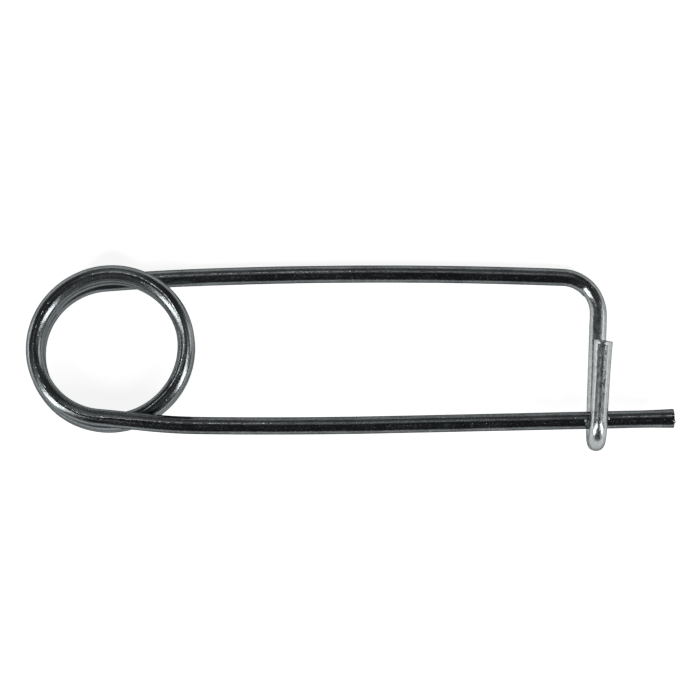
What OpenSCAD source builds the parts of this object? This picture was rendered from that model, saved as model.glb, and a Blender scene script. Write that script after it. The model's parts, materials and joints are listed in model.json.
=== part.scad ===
// Coil-spring safety pin, bent from one length of round spring wire.
//
// It lies flat on Z = 0, with the axis of its coil standing along Z. X runs from the coil along the
// two legs. The hook leg is on the +Y side: it leaves the bottom turn of the coil and its far end is
// bent into the hook. The pin leg is on the -Y side: it leaves the top turn and comes down to pass
// through the hook, so its end sticks out beyond.

/* [Wire] */
// Diameter of the wire
wire_d = 3.05; // [2.4:0.05:3.4]
// Length of the spread that the shears leave at each end of the wire
cut_l = 1.4; // [0.8:0.1:3]
// How far that spread stands out from the wire
cut_spread = 0.12; // [0.05:0.01:0.2]
// Break along the edge of each cut face
cut_break = 0.15; // [0.05:0.01:0.4]

/* [Coil] */
// Radius of the coil along X, to the middle of the wire
coil_r = 13.15; // [10:0.05:17]
// How much less the radius is along Y, where the closed legs squeeze the coil
coil_squeeze = 0.32; // [0:0.02:1]
// How far the coil's +Y side is pushed toward +X, and its -Y side toward -X
coil_skew = 0.5; // [0:0.05:0.8]
// Whole turns in the coil, besides its last half turn
whole_turns = 2; // [1:1:4]
// Gap between neighbouring turns
turn_gap = 0.2; // [0.16:0.01:0.6]
// Step of each turn toward +Y past the turn under it
turn_step_y = 0.4; // [0:0.05:1]
// Step of each turn toward +X past the turn under it
turn_step_x = 0.1; // [0:0.05:1]
// Angle of the coil over which the wire draws in toward a leg
draw_in_angle = 120; // [60:5:180]
// How far it draws in toward the hook leg
hook_draw_in = 0.65; // [0:0.05:1]
// How far it draws in toward the pin leg
pin_draw_in = 0.5; // [0:0.05:0.6]

/* [Legs] */
// Angle between X and each leg where it leaves the coil
leave_angle = 8; // [4:0.5:12]
// Distance along X from the coil's centre to the end of the bend beside it
shoulder_x = 15.5; // [12:0.5:22]
// How far the hook leg then stands outside the coil's radius along Y
hook_leg_out = -0.15; // [-1:0.05:1]
// How far the pin leg then stands outside the coil's radius along Y
pin_leg_out = 0.35; // [-1:0.05:1]
// Angle that the hook leg's bow makes with X at its two ends
hook_leg_bow = 2.1; // [0.5:0.1:4]
// Angle that the pin leg's bow makes with X where it starts
pin_leg_bow = 0.75; // [0.3:0.05:3]
// Angle that the straight end of the pin leg makes with X
pin_angle = 1.2; // [0.5:0.1:3]
// Length of that straight end, with its tip
pin_straight_l = 49; // [35:0.5:70]
// Length of the pin leg that sticks out beyond the hook
pin_end_l = 13.4; // [6:0.1:25]

/* [Hook] */
// Distance along X from the coil's centre to the middle of the hook
reach = 84.75; // [70:0.05:110]
// Radius of the corner between the hook leg and the hook, to the middle of the wire
corner_r = 6.5; // [4:0.1:9]
// Gap between the pin leg and the wire of the hook around it
hook_play = 0.9; // [0.3:0.05:1.5]
// Length of the hook's free side, from the end of its bend to the cut
hook_side_l = 14.1; // [8:0.1:18]
// Lean of the hook's back side toward +X, going up from the pin leg
back_lean = 1.9; // [0:0.1:5]
// Lean of the hook's free side toward +X
side_lean = 3; // [0:0.1:8]
// Angle at which the free side opens away from the back side
side_opening = 3; // [0:0.5:10]

/* [Hidden] */

wire_r = wire_d / 2;
pitch = wire_d + turn_gap;
coil_end = 360 * whole_turns + 180;              // angle wound from 12 o'clock to 6 o'clock
coil_ry = coil_r - coil_squeeze;
coil_step = 60;                                  // longest angle between two stations on the coil

// The arcs are joined by a thinner length running a little way into the full one beside it.
lap = 0.2;
thinner = 0.015;

function unit(v) = v / norm(v);
// Level direction at an angle from X toward Y
function level(angle) = [cos(angle), sin(angle), 0];

// ---- The coil -------------------------------------------------------------------------------
// The angle a is wound anticlockwise from 12 o'clock, where the hook leg joins the bottom turn.

function draw_in(a, depth) = depth * pow(max(0, 1 - a / draw_in_angle), 2);
function coil_drawn(a) = draw_in(a, hook_draw_in) + draw_in(coil_end - a, pin_draw_in);
// The hook leg comes down to the floor along the bend beside the coil.
coil_floor = wire_r + pitch / (2 * PI * coil_r) * shoulder_x / 2;
// Each turn lies level as far as 6 o'clock and climbs on its way back to 12 o'clock.
function coil_height(a) = coil_floor + pitch * (a / 360 - (1 - cos(a)) / 4);
function coil_point(a) =
    let (from_middle = (a - coil_end / 2) / 360)
    [turn_step_x * from_middle - (coil_r - coil_drawn(a)) * sin(a) + coil_skew * cos(a),
     turn_step_y * from_middle + (coil_ry - coil_drawn(a)) * cos(a),
     coil_height(a)];
function coil_direction(a) = unit(coil_point(a + 0.5) - coil_point(a - 0.5));

coil_turned = coil_end - 2 * leave_angle;
coil_spans = ceil(coil_turned / coil_step);
coil_stations = [for (i = [0 : coil_spans])
    let (a = leave_angle + coil_turned * i / coil_spans) [coil_point(a), coil_direction(a)]];

// ---- The pin leg ----------------------------------------------------------------------------

// The pin leg runs through the middle of the hook's bend, at this height.
hook_bend_r = wire_d + hook_play;
hook_z = wire_r + hook_bend_r;
pin_z = coil_stations[coil_spans][0][2];         // height at which it leaves the coil
pin_fall = -(pin_z - hook_z) / (reach - shoulder_x);
function pin_direction(angle) = unit(level(angle) + [0, 0, pin_fall]);
pin_straight = pin_direction(pin_angle);

pin_shoulder = [shoulder_x, -coil_ry - pin_leg_out, pin_z];
// The bow is one even curve from the shoulder to the start of the straight end.
pin_straight_x = reach + pin_end_l - pin_straight_l * pin_straight[0];
pin_bow_l = pin_straight_x - shoulder_x;
pin_straight_start = pin_shoulder
    + pin_bow_l * [1, tan((pin_angle - pin_leg_bow) / 2), pin_fall];
pin_at_hook = pin_straight_start + (reach - pin_straight_x) / pin_straight[0] * pin_straight;
pin_end = pin_straight_start + (pin_straight_l - cut_l) * pin_straight;

// ---- The hook -------------------------------------------------------------------------------

// The bend is an arc round the pin leg, and the two sides run off it on their tangents.
bend_middle = [reach, pin_at_hook[1], hook_z];
back_up = level(90 - back_lean);
side_up = unit([sin(side_lean), cos(side_lean), sin(side_opening)]);
back_bottom = bend_middle - [0, 0, hook_bend_r];
side_bottom = bend_middle + hook_bend_r * unit(cross([1, 0, 0], side_up));
side_end = side_bottom + (hook_side_l - cut_l) * side_up;

// The corner: the hook leg's line is cut by the line of the hook's back side.
hook_leg_y = coil_ry + hook_leg_out;
hook_leg_in = level(-hook_leg_bow);
function along_to_y(p, u, y) = p + u * (y - p[1]) / u[1];
corner_turn = 90 - back_lean + hook_leg_bow;
corner_cut = corner_r * tan(corner_turn / 2);
corner_meets = along_to_y(back_bottom, back_up, hook_leg_y - corner_cut * sin(hook_leg_bow));
corner_start = corner_meets - corner_cut * hook_leg_in;
corner_end = corner_meets - corner_cut * back_up;
hook_shoulder = [shoulder_x, hook_leg_y, wire_r];

// ---- The whole wire, from the end of the hook to the end of the pin leg ----------------------
// Each station is a point and the direction in which the wire runs there.

stations = concat(
    [[side_end, -side_up], [side_bottom, -side_up]],
    [[back_bottom, back_up], [corner_end, back_up]],
    [[corner_start, -hook_leg_in], [hook_shoulder, -level(hook_leg_bow)]],
    coil_stations,
    [[pin_shoulder, pin_direction(-pin_leg_bow)]],
    [[pin_straight_start, pin_straight], [pin_end, pin_straight]]
);

// Where two arcs of equal tangent lengths meet, between two stations
function arcs_meet(p, u, q, v) =
    let (c = q - p, t = u + v, k = 2 * (1 - u * v),
         d = k < 1e-9 ? (c * c) / (2 * c * t) : (sqrt(pow(c * t, 2) + k * (c * c)) - c * t) / k)
    (p + d * u + q - d * v) / 2;
function is_straight(p, u, q) = norm(cross(u, unit(q - p))) < 1e-5;
// Lengths of wire between two stations: one straight, or two arcs that share a tangent
function lengths(a, b) =
    is_straight(a[0], a[1], b[0]) ? [[a[0], a[1], b[0]]]
    : let (m = arcs_meet(a[0], a[1], b[0], b[1])) [[a[0], a[1], m], [b[0], -b[1], m]];
wire_lengths = [for (i = [1 : len(stations) - 1]) each lengths(stations[i - 1], stations[i])];

// Puts the children's X, Y and Z along three directions, and their origin at o
module place(x, y, z, o) {
    multmatrix([[x[0], y[0], z[0], o[0]], [x[1], y[1], z[1], o[1]], [x[2], y[2], z[2], o[2]]])
        children();
}

module place_along(u, o) {
    side = unit(cross(u, abs(u[2]) > 0.9 ? [1, 0, 0] : [0, 0, 1]));
    place(side, cross(u, side), u, o) children();
}

module straight(p, q, r, over) {
    place_along(unit(q - p), p)
        translate([0, 0, -over]) cylinder(r = r, h = norm(q - p) + 2 * over, $fn = 48);
}

module arc(p, u, q, r, over) {
    chord = q - p;
    inward = unit(chord - (chord * u) * u);
    bend_r = (chord * chord) / (2 * chord * inward);
    turn = 2 * atan2(chord * inward, chord * u);
    over_turn = over / bend_r * 180 / PI;
    facets = max(4, ceil(turn / 8), ceil(norm(chord) / 4));
    place(-inward, u, cross(u, inward), p + bend_r * inward)
        rotate([0, 0, -over_turn])
            rotate_extrude(angle = turn + 2 * over_turn, $fn = ceil(facets * 360 / turn))
                translate([bend_r, 0]) circle(r = r, $fn = 32);
}

// The end of the wire, cropped square: the shears spread it a little, and the edge is broken.
module cut_end(p, u) {
    face_r = wire_r + cut_spread;
    place_along(u, p)
        rotate_extrude($fn = 48)
            polygon([[0, -lap], [wire_r - thinner, -lap], [face_r, cut_l - cut_break],
                     [face_r - cut_break, cut_l], [0, cut_l]]);
}

module safety_pin() {
    color("dimgray") {
        for (i = [0 : len(wire_lengths) - 1]) {
            p = wire_lengths[i][0];
            u = wire_lengths[i][1];
            q = wire_lengths[i][2];
            over = i % 2 == 1 ? lap : 0;
            r = i % 2 == 1 ? wire_r - thinner : wire_r;
            if (is_straight(p, u, q)) straight(p, q, r, over);
            else arc(p, u, q, r, over);
        }
        cut_end(side_end, side_up);
        cut_end(pin_end, pin_straight);
    }
}

safety_pin();
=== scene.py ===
import json
import math

import bmesh
import bpy
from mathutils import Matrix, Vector


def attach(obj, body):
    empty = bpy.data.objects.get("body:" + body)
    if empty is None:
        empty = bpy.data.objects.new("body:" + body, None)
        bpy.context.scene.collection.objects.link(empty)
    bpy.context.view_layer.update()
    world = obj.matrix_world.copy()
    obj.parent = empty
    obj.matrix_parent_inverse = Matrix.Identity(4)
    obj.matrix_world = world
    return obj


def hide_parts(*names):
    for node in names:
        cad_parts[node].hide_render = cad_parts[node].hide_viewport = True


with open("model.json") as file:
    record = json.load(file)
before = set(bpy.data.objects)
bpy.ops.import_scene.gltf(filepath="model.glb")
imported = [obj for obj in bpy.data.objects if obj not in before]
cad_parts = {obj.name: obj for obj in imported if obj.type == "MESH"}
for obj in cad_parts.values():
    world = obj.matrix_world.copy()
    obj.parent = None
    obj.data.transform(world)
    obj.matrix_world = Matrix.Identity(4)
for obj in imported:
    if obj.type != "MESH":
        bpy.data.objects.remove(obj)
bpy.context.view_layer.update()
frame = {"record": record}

# ---- The spring wire -------------------------------------------------------------------------
# The whole pin is one length of hard-drawn spring wire, cropped at both ends and plated with zinc.
# It is wound two and a half turns on a mandrel, and the hook is bent on its lower leg. Its middle line
# is laid out as one run of straights and arcs, and a round section is swept along that run.

MM = 0.001
pin_mount = frame["record"]["mounts"][0]
wire_r = pin_mount["dims"]["r_mm"] * MM
wire_d = 2 * wire_r

# The coil and how its turns lie on each other
coil_r = 13.15 * MM
coil_ry = coil_r - 0.32 * MM                  # the closed legs squeeze it
coil_skew = 0.5 * MM                          # and push its two sides past each other
pitch = wire_d + 0.2 * MM
turn_step = Vector((0.1, 0.4, 0)) * MM        # each turn lies this far past the turn under it
wound = 900                                   # degrees, from 12 o'clock to 6 o'clock
draw_in_angle = 120                           # over this much of the coil it draws in toward a leg
hook_draw_in = 0.65 * MM
pin_draw_in = 0.5 * MM
leave_angle = 8
longest_span = 60                             # degrees between two stations on the coil

# The legs
shoulder_x = 15.5 * MM
hook_leg_y = coil_ry - 0.15 * MM
pin_leg_y = -coil_ry - 0.35 * MM
hook_leg_bow = 2.1
pin_leg_bow = 0.75
pin_angle = 1.2
pin_straight_l = 49 * MM
pin_end_l = 13.4 * MM

# The hook
reach = 84.75 * MM
corner_r = 6.5 * MM
hook_bend_r = wire_d + 0.9 * MM
hook_side_l = 14.1 * MM
back_lean = 1.9
side_lean = 3
side_opening = 3


def level(angle):
    """The direction in the plane of the floor at an angle from X toward Y."""
    return Vector((math.cos(math.radians(angle)), math.sin(math.radians(angle)), 0))


def drawn_in(angle, depth):
    """How far the wire has left the round of the coil, this many degrees from its end."""
    return depth * max(0, 1 - angle / draw_in_angle) ** 2


def coil_height(angle):
    """Each turn lies level as far as 6 o'clock and climbs on its way back to 12 o'clock."""
    lowest = wire_r + pitch / (2 * math.pi * coil_r) * shoulder_x / 2
    return lowest + pitch * (angle / 360 - (1 - math.cos(math.radians(angle))) / 4)


def coil_point(angle):
    """The middle of the wire, this many degrees round from 12 o'clock where the hook leg joins."""
    inward = drawn_in(angle, hook_draw_in) + drawn_in(wound - angle, pin_draw_in)
    a = math.radians(angle)
    x = -(coil_r - inward) * math.sin(a) + coil_skew * math.cos(a)
    y = (coil_ry - inward) * math.cos(a)
    return Vector((x, y, coil_height(angle))) + turn_step * (angle - wound / 2) / 360


def coil_station(angle):
    """A place on the coil, with the direction in which the wire runs there."""
    return coil_point(angle), (coil_point(angle + 0.5) - coil_point(angle - 0.5)).normalized()


coil_turned = wound - 2 * leave_angle
coil_spans = math.ceil(coil_turned / longest_span)
coil = [coil_station(leave_angle + coil_turned * i / coil_spans) for i in range(coil_spans + 1)]

# The pin leg comes down from the top turn and passes through the middle of the hook's bend.
hook_z = wire_r + hook_bend_r
pin_z = coil[-1][0].z
pin_fall = -(pin_z - hook_z) / (reach - shoulder_x)


def pin_direction(angle):
    """The direction of the falling pin leg, at an angle from X toward Y."""
    return (level(angle) + Vector((0, 0, pin_fall))).normalized()


pin_straight = pin_direction(pin_angle)
pin_straight_x = reach + pin_end_l - pin_straight_l * pin_straight.x
pin_shoulder = Vector((shoulder_x, pin_leg_y, pin_z))
bow_rise = math.tan(math.radians((pin_angle - pin_leg_bow) / 2))
pin_straight_start = pin_shoulder + (pin_straight_x - shoulder_x) * Vector((1, bow_rise, pin_fall))
pin_at_hook = pin_straight_start + (reach - pin_straight_x) / pin_straight.x * pin_straight
pin_tip = pin_straight_start + pin_straight_l * pin_straight

# The hook's bend is an arc round the pin leg, and its two sides run off it on their tangents.
bend_middle = Vector((reach, pin_at_hook.y, hook_z))
back_up = level(90 - back_lean)
side_up = Vector((
    math.sin(math.radians(side_lean)),
    math.cos(math.radians(side_lean)),
    math.sin(math.radians(side_opening)),
)).normalized()
back_bottom = bend_middle - Vector((0, 0, hook_bend_r))
side_bottom = bend_middle + hook_bend_r * Vector((1, 0, 0)).cross(side_up).normalized()
side_tip = side_bottom + hook_side_l * side_up

# The corner joins the line of the hook leg to the line of the hook's back side.
hook_leg_in = level(-hook_leg_bow)
corner_turn = math.radians(90 - back_lean + hook_leg_bow)
corner_cut = corner_r * math.tan(corner_turn / 2)
lines_meet_y = hook_leg_y - corner_cut * math.sin(math.radians(hook_leg_bow))
corner_meets = back_bottom + back_up * (lines_meet_y - back_bottom.y) / back_up.y
corner_end = corner_meets - corner_cut * back_up
corner_start = corner_meets - corner_cut * hook_leg_in
hook_shoulder = Vector((shoulder_x, hook_leg_y, wire_r))

stations = (
    [(side_tip, -side_up), (side_bottom, -side_up), (back_bottom, back_up), (corner_end, back_up)]
    + [(corner_start, -hook_leg_in), (hook_shoulder, -level(hook_leg_bow))]
    + coil
    + [(pin_shoulder, pin_direction(-pin_leg_bow)), (pin_straight_start, pin_straight)]
    + [(pin_tip, pin_straight)]
)


straight_enough = 1e-5


def arcs_meet(p, u, q, v):
    """Where two arcs with equal tangent lengths meet, between two stations."""
    c, t, k = q - p, u + v, 2 * (1 - u.dot(v))
    if k < 1e-9:
        d = c.dot(c) / (2 * c.dot(t))
    else:
        d = (math.sqrt(c.dot(t) ** 2 + k * c.dot(c)) - c.dot(t)) / k
    return (p + d * u + q - d * v) / 2


def arc_points(p, u, q, step):
    """Points from p up to q on the arc that leaves p in direction u, without q itself."""
    chord = q - p
    count = max(2, math.ceil(chord.length / step))
    across = chord - chord.dot(u) * u
    if across.length < straight_enough * chord.length:
        return [p + chord * i / count for i in range(count)]
    inward = across.normalized()
    bend_r = chord.dot(chord) / (2 * chord.dot(inward))
    turn = 2 * math.atan2(chord.dot(inward), chord.dot(u))
    angles = [turn * i / count for i in range(count)]
    return [p + bend_r * (inward * (1 - math.cos(a)) + u * math.sin(a)) for a in angles]


ring_step = 0.42 * MM
run = []
for (p, u), (q, v) in zip(stations, stations[1:]):
    if u.cross((q - p).normalized()).length < straight_enough:
        run += arc_points(p, u, q, ring_step)
        continue
    middle = arcs_meet(p, u, q, v)
    run += arc_points(p, u, middle, ring_step)
    run += [middle] + arc_points(q, -v, middle, ring_step)[:0:-1]
run.append(stations[-1][0])

# Each place on the run knows how far along the wire it is and which way it is bent.
along = [0.0]
for a, b in zip(run, run[1:]):
    along.append(along[-1] + (b - a).length)
bends = [Vector((0, 0, 0))]
for a, b, c in zip(run, run[1:], run[2:]):
    bends.append(((c - b).normalized() - (b - a).normalized()) / ((c - a).length / 2))
bends.append(Vector((0, 0, 0)))
blend = 4                                     # a bend starts softly, over this many rings
soft_bends = []
for i in range(len(bends)):
    near = bends[max(0, i - blend):i + blend + 1]
    soft_bends.append(sum(near, Vector((0, 0, 0))) / len(near))

# One groove in the drawing die left a fine raised line along the whole wire. Each pair is a place on the
# coil in degrees, and how far outward of the wire's top the line lies there, in wire radii.
line_places = ((8, 0.3), (300, 0.3), (540, -0.15), (588, -0.4), (624, -0.3), (660, -0.05),
               (684, 0.1), (712, 0.2), (750, 0.2), (892, -0.12))
line_on_pin_leg = -0.33
line_drift = 0.04                             # share of the way there that it goes with each ring
coil_first = min(range(len(run)), key=lambda i: (run[i] - coil[0][0]).length)
coil_last = min(range(len(run)), key=lambda i: (run[i] - coil[-1][0]).length)


def line_offset(angle):
    """How far outward the die line is from the top of the wire, this many degrees round the coil."""
    for (a, t), (b, u) in zip(line_places, line_places[1:]):
        if angle < b:
            share = max(0, (angle - a) / (b - a))
            return t + (u - t) * share * share * (3 - 2 * share)
    return line_places[-1][1]


def from_top(heading, offset):
    """The direction out of the wire that lies this far outward of its top, in wire radii."""
    outer_side = heading.cross(Vector((0, 0, 1))).normalized()
    top = outer_side.cross(heading)
    return outer_side * offset + top * math.sqrt(1 - offset * offset)


headings = [(run[min(i + 1, len(run) - 1)] - run[max(i - 1, 0)]).normalized() for i in range(len(run))]
toward_line = [None] * len(run)
for i in range(coil_first, len(run)):
    if i <= coil_last:
        share = (along[i] - along[coil_first]) / (along[coil_last] - along[coil_first])
        offset = line_offset(leave_angle + coil_turned * share)
    else:
        offset += (line_on_pin_leg - offset) * line_drift
    toward_line[i] = from_top(headings[i], offset)
# Back from the coil to the hook's end, the line keeps its side of the wire round each bend.
for i in range(coil_first - 1, -1, -1):
    carried = toward_line[i + 1] - toward_line[i + 1].dot(headings[i]) * headings[i]
    toward_line[i] = carried.normalized()
beside_line = [h.cross(t) for h, t in zip(headings, toward_line)]

route = bpy.data.meshes.new("wire_run")
route.from_pydata(run, [(i, i + 1) for i in range(len(run) - 1)], [])
route.attributes.new("along", "FLOAT", "POINT").data.foreach_set("value", along)
for name, vectors in (("bend", soft_bends), ("toward line", toward_line), ("beside line", beside_line)):
    flat = [x for vector in vectors for x in vector]
    route.attributes.new(name, "FLOAT_VECTOR", "POINT").data.foreach_set("vector", flat)
wire_run = bpy.data.objects.new("wire_run", route)
bpy.context.scene.collection.objects.link(wire_run)


def link(tree, source, target):
    """Joins two sockets of a node tree."""
    tree.links.new(source, target)


def math_node(tree, operation, a, b=None, c=None):
    """A sum of one step, from sockets or plain numbers, and the socket of its result."""
    node = tree.nodes.new("ShaderNodeMath")
    node.operation = operation
    for socket, value in zip(node.inputs, (a, b, c)):
        if isinstance(value, (int, float)):
            socket.default_value = value
        elif value is not None:
            link(tree, value, socket)
    return node.outputs[0]


def vector_node(tree, operation, a, b=None, scale=None):
    """A sum of vectors of one step, and the node itself."""
    node = tree.nodes.new("ShaderNodeVectorMath")
    node.operation = operation
    for socket, value in zip(node.inputs, (a, b)):
        if isinstance(value, tuple):
            socket.default_value = value
        elif value is not None:
            link(tree, value, socket)
    if isinstance(scale, (int, float)):
        node.inputs["Scale"].default_value = scale
    elif scale is not None:
        link(tree, scale, node.inputs["Scale"])
    return node


# The run is swept to a wire of 48 flats, which are then moved outward or inward a little.
bend_wire = bpy.data.node_groups.new("bend_wire", "GeometryNodeTree")
sizes = {
    "Wire radius": wire_r,
    "Wire length": along[-1],
    "Flattening at bends": 0.16,
    "Spread at cut ends": 0.14 * MM,
    "Length of spread": 6 * MM,
    "Waviness": 0.03 * MM,
}
bend_wire.interface.new_socket("Run", in_out="INPUT", socket_type="NodeSocketGeometry")
for name in sizes:
    bend_wire.interface.new_socket(name, in_out="INPUT", socket_type="NodeSocketFloat")
bend_wire.interface.new_socket("Zinc", in_out="INPUT", socket_type="NodeSocketMaterial")
bend_wire.interface.new_socket("Wire", in_out="OUTPUT", socket_type="NodeSocketGeometry")

given = bend_wire.nodes.new("NodeGroupInput")
result = bend_wire.nodes.new("NodeGroupOutput")


def named(name, kind):
    """Reads an attribute of the run, which the swept wire carries too."""
    node = bend_wire.nodes.new("GeometryNodeInputNamedAttribute")
    node.data_type = kind
    node.inputs["Name"].default_value = name
    return node.outputs["Attribute"]


# The run keeps its own middle line as an attribute, to measure outward from after the sweep.
place = bend_wire.nodes.new("GeometryNodeInputPosition").outputs[0]
keep_middle = bend_wire.nodes.new("GeometryNodeStoreNamedAttribute")
keep_middle.data_type = "FLOAT_VECTOR"
keep_middle.inputs["Name"].default_value = "middle"
link(bend_wire, given.outputs["Run"], keep_middle.inputs["Geometry"])
link(bend_wire, place, keep_middle.inputs["Value"])
to_curve = bend_wire.nodes.new("GeometryNodeMeshToCurve")
link(bend_wire, keep_middle.outputs[0], to_curve.inputs["Mesh"])

section = bend_wire.nodes.new("GeometryNodeCurvePrimitiveCircle")
section.inputs["Resolution"].default_value = 48
link(bend_wire, given.outputs["Wire radius"], section.inputs["Radius"])
sweep = bend_wire.nodes.new("GeometryNodeCurveToMesh")
link(bend_wire, to_curve.outputs[0], sweep.inputs["Curve"])
link(bend_wire, section.outputs[0], sweep.inputs["Profile Curve"])

# A place on the wire as it was before it was bent: across it from the die line, and along it
from_middle = vector_node(bend_wire, "SUBTRACT", place, named("middle", "FLOAT_VECTOR")).outputs[0]
straightened = bend_wire.nodes.new("ShaderNodeCombineXYZ")
for axis, name in ((0, "toward line"), (1, "beside line")):
    part = vector_node(bend_wire, "DOT_PRODUCT", from_middle, named(name, "FLOAT_VECTOR"))
    link(bend_wire, part.outputs["Value"], straightened.inputs[axis])
link(bend_wire, named("along", "FLOAT"), straightened.inputs[2])
keep_drawn = bend_wire.nodes.new("GeometryNodeStoreNamedAttribute")
keep_drawn.data_type = "FLOAT_VECTOR"
keep_drawn.inputs["Name"].default_value = "drawn"
link(bend_wire, sweep.outputs[0], keep_drawn.inputs["Geometry"])
link(bend_wire, straightened.outputs[0], keep_drawn.inputs["Value"])
outward = vector_node(bend_wire, "NORMALIZE", from_middle).outputs[0]
radius = given.outputs["Wire radius"]

# A bend flattens the wire: it is thinner toward the bend's middle and wider across it.
bend = named("bend", "FLOAT_VECTOR")
toward = vector_node(bend_wire, "DOT_PRODUCT", outward, bend).outputs["Value"]
bend_size = vector_node(bend_wire, "LENGTH", bend).outputs["Value"]
nearly_straight = 0.001
thin = math_node(bend_wire, "DIVIDE", math_node(bend_wire, "POWER", toward, 2),
                 math_node(bend_wire, "MAXIMUM", bend_size, nearly_straight))
wide = math_node(bend_wire, "DIVIDE", bend_size, 3)
squared_r = math_node(bend_wire, "POWER", radius, 2)
flattening = math_node(bend_wire, "MULTIPLY", given.outputs["Flattening at bends"], squared_r)
flattened = math_node(bend_wire, "MULTIPLY", math_node(bend_wire, "SUBTRACT", wide, thin), flattening)

# The shears spread both ends a little, most of all at the very end.
spread_curve = 1.3
from_start = named("along", "FLOAT")
from_end = math_node(bend_wire, "SUBTRACT", given.outputs["Wire length"], from_start)
from_end = math_node(bend_wire, "MINIMUM", from_start, from_end)
near_end = math_node(bend_wire, "SUBTRACT", 1,
                     math_node(bend_wire, "DIVIDE", from_end, given.outputs["Length of spread"]))
near_end = math_node(bend_wire, "POWER", math_node(bend_wire, "MAXIMUM", near_end, 0), spread_curve)
spread = math_node(bend_wire, "MULTIPLY", near_end, given.outputs["Spread at cut ends"])

# Drawing and coiling leave long shallow waves in the surface: so many a metre round it and along it.
waves_a_metre = (900, 900, 170)
waves = bend_wire.nodes.new("ShaderNodeTexNoise")
stretched = vector_node(bend_wire, "MULTIPLY", straightened.outputs[0], waves_a_metre)
link(bend_wire, stretched.outputs[0], waves.inputs["Vector"])
waves.inputs["Scale"].default_value = 1
waves.inputs["Detail"].default_value = 2
wave = math_node(bend_wire, "SUBTRACT", waves.outputs["Fac"], 0.5)
wave = math_node(bend_wire, "MULTIPLY", wave, given.outputs["Waviness"])

moved = math_node(bend_wire, "ADD", math_node(bend_wire, "ADD", flattened, spread), wave)
shape = bend_wire.nodes.new("GeometryNodeSetPosition")
link(bend_wire, keep_drawn.outputs[0], shape.inputs["Geometry"])
link(bend_wire, vector_node(bend_wire, "SCALE", outward, scale=moved).outputs[0], shape.inputs["Offset"])
smooth = bend_wire.nodes.new("GeometryNodeSetShadeSmooth")
link(bend_wire, shape.outputs[0], smooth.inputs["Geometry"])
realize = bend_wire.nodes.new("GeometryNodeRealizeInstances")
link(bend_wire, smooth.outputs[0], realize.inputs["Geometry"])
finish = bend_wire.nodes.new("GeometryNodeSetMaterial")
link(bend_wire, realize.outputs[0], finish.inputs["Geometry"])
link(bend_wire, given.outputs["Zinc"], finish.inputs["Material"])
link(bend_wire, finish.outputs[0], result.inputs["Wire"])

# The bright zinc plate is thin and hard. It follows the lengthwise marks of the drawing die, and the
# plating bath leaves a fine grain, small pits and cloudier patches. The tools have smoothed it on the
# coil. Toward the hook's end it is duller. Its colour is painted darker on the legs, paler on the coil
# and palest on the hook: painted shade and painted sheen for how each part catches the light.
zinc = bpy.data.materials.new("bright_zinc_plate")
zinc.use_nodes = True
plate = zinc.node_tree
plate.nodes.clear()
shader = plate.nodes.new("ShaderNodeBsdfPrincipled")
surface = plate.nodes.new("ShaderNodeOutputMaterial")
link(plate, shader.outputs[0], surface.inputs["Surface"])
shader.inputs["Metallic"].default_value = 1
drawn = plate.nodes.new("ShaderNodeAttribute")
drawn.attribute_name = "drawn"
drawn_parts = plate.nodes.new("ShaderNodeSeparateXYZ")
link(plate, drawn.outputs["Vector"], drawn_parts.inputs[0])


def marks(around, lengthwise, detail, roughness=0.5):
    """A noise on the straight wire, with so many marks a metre round it and along it."""
    stretch = vector_node(plate, "MULTIPLY", drawn.outputs["Vector"], (around, around, lengthwise))
    node = plate.nodes.new("ShaderNodeTexNoise")
    node.inputs["Scale"].default_value = 1
    node.inputs["Detail"].default_value = detail
    node.inputs["Roughness"].default_value = roughness
    link(plate, stretch.outputs[0], node.inputs["Vector"])
    return node.outputs["Fac"]


def specks(around, lengthwise, size, share):
    """Scattered spots, up to so many a metre round the wire and along it: 1 in their middle."""
    stretch = vector_node(plate, "MULTIPLY", drawn.outputs["Vector"], (around, around, lengthwise))
    node = plate.nodes.new("ShaderNodeTexVoronoi")
    node.inputs["Scale"].default_value = 1
    link(plate, stretch.outputs[0], node.inputs["Vector"])
    spot = between(node.outputs["Distance"], size, 0, 0, 1)
    pick = plate.nodes.new("ShaderNodeSeparateColor")
    link(plate, node.outputs["Color"], pick.inputs[0])
    return math_node(plate, "MULTIPLY", spot, math_node(plate, "LESS_THAN", pick.outputs[0], share))


def between(value, low, high, to_low, to_high):
    """Carries a value from one range to another, softly at both ends, and holds it inside."""
    node = plate.nodes.new("ShaderNodeMapRange")
    node.interpolation_type = "SMOOTHSTEP"
    node.inputs["From Min"].default_value = low
    node.inputs["From Max"].default_value = high
    node.inputs["To Min"].default_value = to_low
    node.inputs["To Max"].default_value = to_high
    link(plate, value, node.inputs["Value"])
    return node.outputs["Result"]


def blend_colours(share, first, second):
    """A colour or socket of colour between two, by a share from 0 to 1."""
    node = plate.nodes.new("ShaderNodeMix")
    node.data_type = "RGBA"
    link(plate, share, node.inputs["Factor"])
    for name, colour in (("A", first), ("B", second)):
        if isinstance(colour, tuple):
            node.inputs[name].default_value = colour
        else:
            link(plate, colour, node.inputs[name])
    return node.outputs["Result"]


# The wire is the hook up to 38 mm of its length, and the coil from 150 to 315 mm. The rest is the legs.
toward_die_line, beside_die_line, along_wire = drawn_parts.outputs
hookward = between(along_wire, 0.038, 0.058, 1, 0)
past_hook_leg = between(along_wire, 0.1, 0.15, 0, 1)
before_pin_leg = between(along_wire, 0.315, 0.355, 1, 0)
coilward = math_node(plate, "MULTIPLY", past_hook_leg, before_pin_leg)

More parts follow.
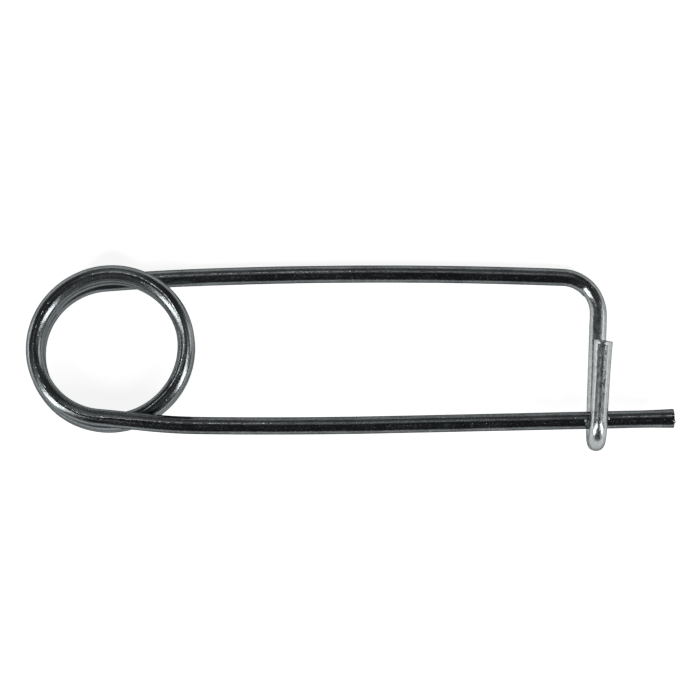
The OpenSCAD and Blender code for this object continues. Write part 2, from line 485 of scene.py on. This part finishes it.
clouds = marks(500, 180, 3)
die_marks = marks(4200, 90, 3)
scratches = marks(14000, 420, 2, 0.6)
dimples = marks(1900, 1100, 2)
patches = between(marks(1500, 1000, 3, 0.6), 0.38, 0.64, 0, 1)
grain = marks(6500, 3500, 2)
flecks = marks(5200, 2300, 2, 0.6)
painted_glint_specks = specks(3600, 2600, 0.32, 0.1)
pits = specks(1500, 900, 0.16, 0.35)

# The die line stands proud of the wire. Its colour is painted bright along it, a painted highlight on the
# raised line. It doesn't cross the cut ends.
line_width = 0.11 * MM
off_line = math_node(plate, "ABSOLUTE", beside_die_line)
line = math_node(plate, "MULTIPLY", between(off_line, line_width, 0, 0, 1),
                 between(toward_die_line, 0.85 * wire_r, 0.95 * wire_r, 0, 1))
# Along these stretches the line stands out most and its painted highlight is strongest: from, to and how
# much.
line_highlight_windows = ((0.085, 0.15, 0.85), (0.236, 0.304, 1), (0.326, 0.37, 0.9), (0.422, 0.44, 1))
line_highlight_strength = 0.25
for start, stop, share in line_highlight_windows:
    window = math_node(plate, "MULTIPLY", between(along_wire, start, start + 0.01, 0, share),
                       between(along_wire, stop - 0.006, stop, 1, 0))
    line_highlight_strength = math_node(plate, "MAXIMUM", window, line_highlight_strength)
line = math_node(plate, "MULTIPLY", line, line_highlight_strength)
line_painted_highlight = math_node(plate, "MULTIPLY", line, between(marks(500, 900, 2), 0.34, 0.56, 0.35, 1))
# Tiny nicks along it glitter where its painted highlight is strongest.
nicked = math_node(plate, "MULTIPLY", specks(3100, 1700, 0.55, 0.95), between(line_painted_highlight, 0.05, 0.35, 0, 1))

# Bright spots painted on: two at the hook's end as painted glints, and two on the pin leg beside the
# hook's edges as painted reflections of the hook. Each is so many mm along the wire, and so far outward
# of its top, in wire radii.
glint_spot_places = ((0.3, 0.5), (0.3, -0.25), (420.15, 0.0), (424.15, -0.2))
painted_spot_glints = 0.0
for place_along, offset in glint_spot_places:
    i = min(range(len(run)), key=lambda i: abs(along[i] - place_along * MM))
    out = wire_r * from_top(headings[i], offset)
    spot = (out.dot(toward_line[i]), out.dot(beside_line[i]), place_along * MM)
    off_spot = vector_node(plate, "DISTANCE", drawn.outputs["Vector"], spot)
    painted_spot_glints = math_node(plate, "ADD", between(off_spot.outputs["Value"], 0.3 * MM, 0.1 * MM, 0, 1), painted_spot_glints)

cloudy = between(clouds, 0.35, 0.65, 0, 1)
# Painted shade and sheen: one plate, painted darker on the legs, paler on the coil and palest on the hook.
leg_painted_shade_tone = blend_colours(cloudy, (0.11, 0.12, 0.123, 1), (0.155, 0.168, 0.172, 1))
coil_painted_sheen_tone = blend_colours(cloudy, (0.17, 0.185, 0.19, 1), (0.22, 0.24, 0.246, 1))
hook_painted_sheen_tone = blend_colours(patches, (0.38, 0.405, 0.41, 1), (0.48, 0.51, 0.515, 1))
tone = blend_colours(hookward, blend_colours(coilward, leg_painted_shade_tone, coil_painted_sheen_tone), hook_painted_sheen_tone)
# The flecks are half as strong on the hook, whose colour is painted pale as a painted sheen.
fleck_share = between(hookward, 0, 1, 1, 0.5)
bright_flecks = math_node(plate, "MULTIPLY", between(flecks, 0.55, 0.72, 0, 0.4), fleck_share)
dark_flecks = math_node(plate, "MULTIPLY", between(flecks, 0.48, 0.3, 0, 0.3), fleck_share)
tone = blend_colours(bright_flecks, tone, (0.4, 0.43, 0.43, 1))
tone = blend_colours(dark_flecks, tone, (0.06, 0.065, 0.068, 1))
# Painted glints: the small raised specks have their colour painted bright.
tone = blend_colours(math_node(plate, "MULTIPLY", painted_glint_specks, 0.8), tone, (0.7, 0.74, 0.76, 1))
# Painted highlight: the die line's colour is painted nearly white.
tone = blend_colours(math_node(plate, "MULTIPLY", line_painted_highlight, 0.95), tone, (0.9, 0.93, 0.94, 1))
# Painted glints and reflections: the spots' colour is painted nearly white.
tone = blend_colours(painted_spot_glints, tone, (0.9, 0.92, 0.93, 1))
link(plate, tone, shader.inputs["Base Color"])

# Dull flecks lie on the legs. They are weaker on the hook, and the coil is nearly free of them.
dull_flecks = between(marks(3400, 1900, 4, 0.7), 0.5, 0.68, 0, 1)
fleck_dullness = math_node(plate, "MULTIPLY", between(coilward, 0, 1, 0.19, 0.05),
                           between(hookward, 0, 1, 1, 0.4))
leg_dullness = math_node(plate, "ADD", between(clouds, 0.35, 0.65, 0.12, 0.16),
                         math_node(plate, "MULTIPLY", dull_flecks, fleck_dullness))
hook_dullness = math_node(plate, "MULTIPLY", hookward, between(patches, 0, 1, 0.1, 0.17))
coil_dullness = math_node(plate, "MULTIPLY", coilward, 0.085)
dullness = math_node(plate, "ADD", leg_dullness, math_node(plate, "ADD", hook_dullness, coil_dullness))
dullness = math_node(plate, "MULTIPLY_ADD", line_painted_highlight, 0.32, dullness)
dullness = math_node(plate, "MULTIPLY_ADD", nicked, -0.25, dullness)
dullness = math_node(plate, "MULTIPLY_ADD", painted_spot_glints, 0.4, dullness)
link(plate, dullness, shader.inputs["Roughness"])
shader.inputs["Specular Tint"].default_value = (0.2, 0.2, 0.2, 1)    # the plate is dark at its rims

# The relief of the surface, in millimetres
relief = ((die_marks, 0.013), (scratches, 0.004), (dimples, 0.011), (grain, 0.007),
          (painted_glint_specks, 0.012), (nicked, 0.07), (pits, -0.012))
height = math_node(plate, "MULTIPLY_ADD", line, 0.02, math_node(plate, "MULTIPLY", painted_spot_glints, 0.05))
for pattern, depth in relief:
    height = math_node(plate, "MULTIPLY_ADD", pattern, depth, height)
bump = plate.nodes.new("ShaderNodeBump")
bump.inputs["Strength"].default_value = 1
bump.inputs["Distance"].default_value = MM
link(plate, height, bump.inputs["Height"])
link(plate, bump.outputs[0], shader.inputs["Normal"])

bender = wire_run.modifiers.new("bend_wire", "NODES")
bender.node_group = bend_wire
for item in bend_wire.interface.items_tree:
    if item.in_out == "INPUT" and item.name in sizes:
        bender[item.identifier] = float(sizes[item.name])
    if item.name == "Zinc":
        bender[item.identifier] = zinc

depsgraph = bpy.context.evaluated_depsgraph_get()
wire_mesh = bpy.data.meshes.new_from_object(wire_run.evaluated_get(depsgraph), depsgraph=depsgraph)
wire_mesh.name = "spring_wire"
bpy.data.objects.remove(wire_run)
spring_wire = bpy.data.objects.new("spring_wire", wire_mesh)
bpy.context.scene.collection.objects.link(spring_wire)

# Both ends are cropped in shears. The cut's edge is broken, its face is torn and grainy, and the
# blades leave a nick or a small burr on its edge.
cut_reach = 3 * MM                            # the slope of a cut dies away this far behind it
mark_reach = 0.9 * MM                         # and a blade's mark this far
mark_width = 13                               # degrees of the edge, on each side of a mark
# The rings that close an end: each is so many mm less across than the one before, and so far out of it
face_rings = ((0.06, 0.03), (0.1, 0.04), (0.5, 0.03), (0.9, 0.02), (1.2, 0.02))
# For each end: its tip, the way it points, one side of it, how the cut slopes toward that side, and the
# blades' marks on the edge: degrees from that side, how far in, how far out of the cut, both in mm
cuts = (
    (side_tip, side_up, Vector((1, 0, 0)), 0.09, ((101, 0.34, -0.2), (125, -0.08, 0.1), (74, -0.08, 0.1))),
    (pin_tip, pin_straight, Vector((0, -1, 0)), 0.01, ((70, -0.02, 0.16),)),
)
ends = bmesh.new()
ends.from_mesh(wire_mesh)
open_edge = [v for v in ends.verts if v.is_boundary]
drawn_place = ends.verts.layers.float_vector["drawn"]
for tip, outward_u, toward_side, slope, edge_marks in cuts:
    up = toward_side.cross(outward_u)
    up *= math.copysign(1, up.z)
    ring = [v for v in open_edge if (v.co - tip).length < 2 * wire_d]
    ring.sort(key=lambda v: math.atan2((v.co - tip).dot(up), (v.co - tip).dot(toward_side)))
    for inset, rise in face_rings:
        inner_ring = []
        for v in ring:
            radial = v.co - tip
            radial -= radial.dot(outward_u) * outward_u
            kept = 1 - inset * MM / 2 / radial.length
            inner = ends.verts.new(tip + radial * kept + outward_u * rise * MM, v)
            across, beside, mark_along = v[drawn_place]
            inner[drawn_place] = (across * kept, beside * kept, mark_along)
            inner_ring.append(inner)
        for i in range(len(ring)):
            ends.faces.new((ring[i - 1], ring[i], inner_ring[i], inner_ring[i - 1]))
        ring = inner_ring
    ends.faces.new(ring)
    for v in ends.verts:
        offset = v.co - tip
        behind = -offset.dot(outward_u)
        if offset.length > 4 * wire_d or behind > cut_reach:
            continue
        near_cut = 1 - max(0, behind) / cut_reach
        x, y = offset.dot(toward_side), offset.dot(up)
        v.co -= outward_u * slope * x * near_cut
        on_rim = min(1, max(0, math.hypot(x, y) / wire_r - 0.55) / 0.3)
        on_rim *= max(0, 1 - max(0, behind) / mark_reach)
        for edge_place, inward, burr in edge_marks:
            from_place = abs(math.degrees(math.atan2(y, x)) - edge_place) / mark_width
            share = on_rim * max(0, 1 - from_place * from_place) * MM
            v.co += outward_u * burr * share - (toward_side * x + up * y).normalized() * inward * share
bmesh.ops.recalc_face_normals(ends, faces=ends.faces)
for face in ends.faces:
    face.smooth = True
ends.to_mesh(wire_mesh)
ends.free()

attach(spring_wire, "root")
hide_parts("safety_pin")

# ---- The floor -------------------------------------------------------------------------------
# A plain white table top that turns up a little all round, far from the pin. It is turned from a
# profile of places given by how far out and how high they are.

profile = [(0.0, 0.0), (0.6, 0.0), (1.6, 0.0), (1.8, 0.02), (2.0, 0.08), (2.1, 0.25)]
spokes = 64
under_pin = 0.02 * MM
floor_glow = 0.85                             # where it is seen straight or in the metal
floor_mesh = bpy.data.meshes.new("table_top")
table = bmesh.new()
rings = []
for out, up in profile:
    if out == 0:
        rings.append([table.verts.new((0, 0, 0))])
        continue
    turned = [2 * math.pi * i / spokes for i in range(spokes)]
    rings.append([table.verts.new((out * math.cos(t), out * math.sin(t), up)) for t in turned])
for i in range(spokes):
    table.faces.new((rings[0][0], rings[1][i], rings[1][(i + 1) % spokes]))
for inner, outer in zip(rings[1:], rings[2:]):
    for i in range(spokes):
        j = (i + 1) % spokes
        table.faces.new((inner[i], outer[i], outer[j], inner[j]))
table.to_mesh(floor_mesh)
table.free()
floor = bpy.data.objects.new("table_top", floor_mesh)
floor.location.z = -under_pin
bpy.context.scene.collection.objects.link(floor)
paper = bpy.data.materials.new("white_paper")
paper.use_nodes = True
sheet = paper.node_tree.nodes["Principled BSDF"]
sheet.inputs["Base Color"].default_value = (0.52, 0.52, 0.52, 1)
sheet.inputs["Roughness"].default_value = 0.9
sheet.inputs["Specular IOR Level"].default_value = 0
sheet.inputs["Emission Color"].default_value = (1, 1, 1, 1)
seen = paper.node_tree.nodes.new("ShaderNodeLightPath")
by_eye = math_node(paper.node_tree, "ADD", seen.outputs["Is Camera Ray"], seen.outputs["Is Glossy Ray"])
by_eye = math_node(paper.node_tree, "ADD", by_eye, seen.outputs["Is Transmission Ray"])
by_eye = math_node(paper.node_tree, "MINIMUM", by_eye, 1)
glow = math_node(paper.node_tree, "MULTIPLY", by_eye, floor_glow)
link(paper.node_tree, glow, sheet.inputs["Emission Strength"])
floor_mesh.materials.append(paper)

# ---- The light -------------------------------------------------------------------------------
# Two tall soft boxes, each of three leaves, stand before the pin. A dim strip and a dim panel hang behind
# it, and low panels stand at its sides and front. The room over it is dim.

box_distance = 1.2
left_side = 221                               # degrees round the pin from X toward Y
right_side = 322


def soft_box(name, toward, distance, width, height, brightness):
    """A rectangular lamp in a direction from the pin, as bright as a white sheet times brightness."""
    lamp = bpy.data.lights.new(name, "AREA")
    lamp.shape = "RECTANGLE"
    lamp.size = width
    lamp.size_y = height
    lamp.energy = brightness * math.pi * width * height
    box = bpy.data.objects.new(name, lamp)
    pin_middle = Vector((0.042, 0, 0))
    away = Vector(toward).normalized()
    box.location = pin_middle + distance * away
    box.rotation_euler = away.to_track_quat("Z", "Y").to_euler()
    box.visible_camera = False
    bpy.context.scene.collection.objects.link(box)


def from_zenith(tilt, azimuth):
    """The direction this many degrees from straight up, on that side."""
    t, a = math.radians(tilt), math.radians(azimuth)
    return math.sin(t) * math.cos(a), math.sin(t) * math.sin(a), math.cos(t)


for tilt, width in ((34, 0.16), (50, 0.22), (66, 0.28)):
    soft_box("left_box", from_zenith(tilt, left_side), box_distance, width, 0.34, 9)
for tilt, width in ((36, 0.17), (51, 0.23), (65, 0.28)):
    soft_box("right_box", from_zenith(tilt, right_side), box_distance, width, 0.3, 9)
soft_box("right_panel", from_zenith(69, 0), box_distance, 0.5, 0.4, 2.3)
soft_box("left_panel", from_zenith(84, 180), box_distance, 0.8, 0.26, 2.5)
soft_box("front_panel", from_zenith(83, 270), 1.3, 1.6, 0.3, 0.15)
soft_box("back_strip", from_zenith(33, 90), box_distance, 0.5, 0.6, 0.5)
soft_box("back_panel", from_zenith(62, 90), box_distance, 0.9, 0.6, 0.17)

world = bpy.data.worlds.new("dim_room")
world.use_nodes = True
world.node_tree.nodes["Background"].inputs["Color"].default_value = (0.055, 0.056, 0.057, 1)
bpy.context.scene.world = world

# ---- The camera ------------------------------------------------------------------------------
# It looks straight down on the pin from about half a metre.

camera_data = bpy.data.cameras.new("camera")
camera_data.lens = 152.3
camera_data.clip_start = 0.01
camera = bpy.data.objects.new("camera", camera_data)
camera.location = (0.04171, -0.00008, 0.522)
bpy.context.scene.collection.objects.link(camera)
bpy.context.scene.camera = camera
bpy.context.scene.view_settings.view_transform = "Standard"
